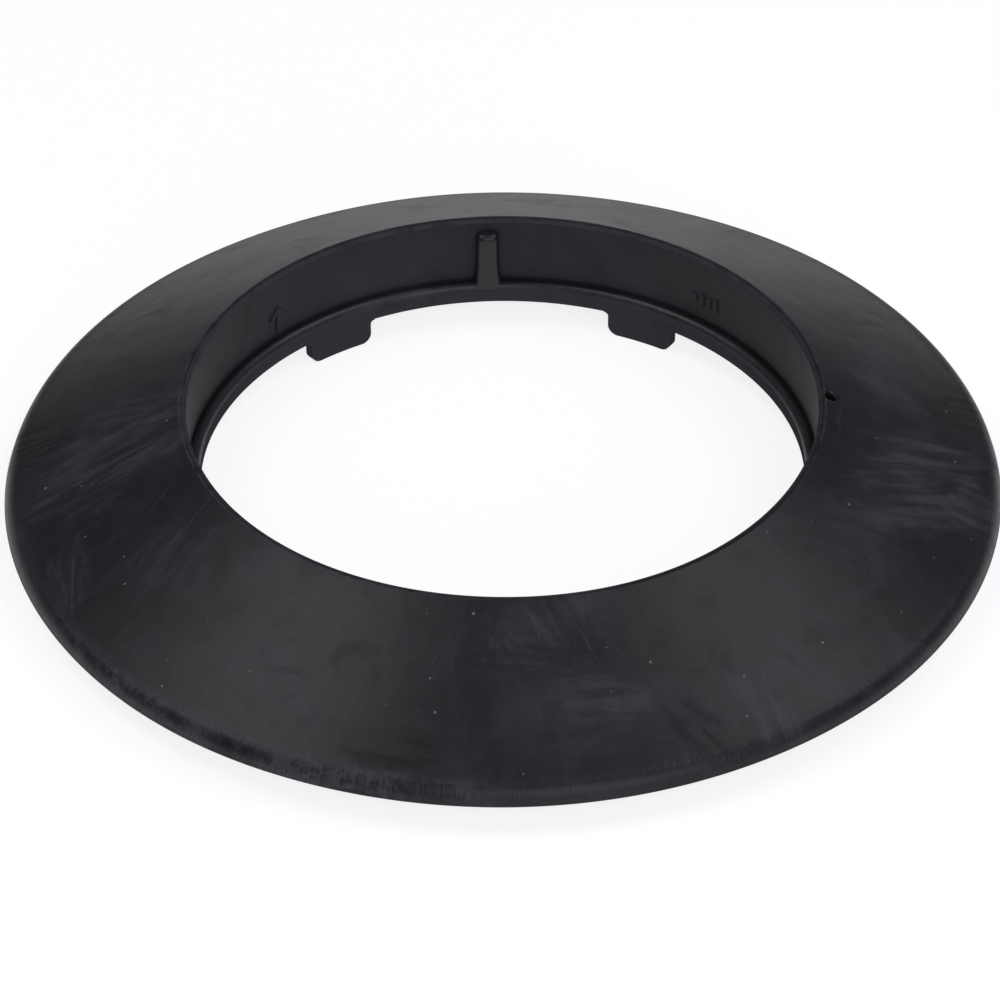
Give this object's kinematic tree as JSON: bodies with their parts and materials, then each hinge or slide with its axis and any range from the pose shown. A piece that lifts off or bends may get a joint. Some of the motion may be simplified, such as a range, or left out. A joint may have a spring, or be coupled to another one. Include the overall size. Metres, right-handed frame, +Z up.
{
  "type": "toilet flange",
  "caption": "Conical black rubber toilet flange seal with an upright collar, a ledge round the bore, a key rib and locating tabs that drop into the soil pipe.",
  "frame": {"origin": "on the ring's axis, in the plane of the locating tabs' tips, the centre of the bottom of its box", "axes": "+Z up along the bore axis from the pipe to the toilet, +Y towards the side with the key rib, +X to the right of it seen from the front"},
  "size_m": [0.17, 0.17, 0.0214],
  "materials": {
    "skirt_rubber": "satin moulded rubber, lightly smudged and scuffed",
    "collar_rubber": "satin moulded rubber",
    "seat_rubber": "smooth semi-gloss moulded rubber"
  },
  "bodies": {
    "collar": {"rim_collar": "collar_rubber", "seat_ring": "seat_rubber", "key_rib": "collar_rubber", "skirt_web": "skirt_rubber"},
    "lip": {"sealing_lip": "skirt_rubber"},
    "tab_rear_left": {"locating_tab_rear_left": "seat_rubber"},
    "tab_rear_right": {"locating_tab_rear_right": "seat_rubber"},
    "tab_front_left": {"locating_tab_front_left": "seat_rubber"},
    "tab_front_right": {"locating_tab_front_right": "seat_rubber"}
  },
  "joints": [
    {"name": "skirt_squeeze", "type": "slide", "parent": "collar", "child": "lip", "axis": [0, 0, 1], "range_m": [0, 0.003], "stiffness_N_per_m": 800, "deforming": ["skirt_web"]},
    {"name": "tab_rear_left_bend", "type": "hinge", "parent": "collar", "child": "tab_rear_left", "pos_m": [-0.02756, 0.0448, 0.00435], "axis": [-0.8517, -0.524, 0], "range_deg": [-5, 12], "stiffness_Nm_per_rad": 0.0001},
    {"name": "tab_rear_right_bend", "type": "hinge", "parent": "collar", "child": "tab_rear_right", "pos_m": [0.02756, 0.0448, 0.00435], "axis": [-0.8517, 0.524, 0], "range_deg": [-5, 12], "stiffness_Nm_per_rad": 0.0001},
    {"name": "tab_front_left_bend", "type": "hinge", "parent": "collar", "child": "tab_front_left", "pos_m": [-0.02756, -0.0448, 0.00435], "axis": [0.8517, -0.524, 0], "range_deg": [-5, 12], "stiffness_Nm_per_rad": 0.0001},
    {"name": "tab_front_right_bend", "type": "hinge", "parent": "collar", "child": "tab_front_right", "pos_m": [0.02756, -0.0448, 0.00435], "axis": [0.8517, 0.524, 0], "range_deg": [-5, 12], "stiffness_Nm_per_rad": 0.0001}
  ]
}
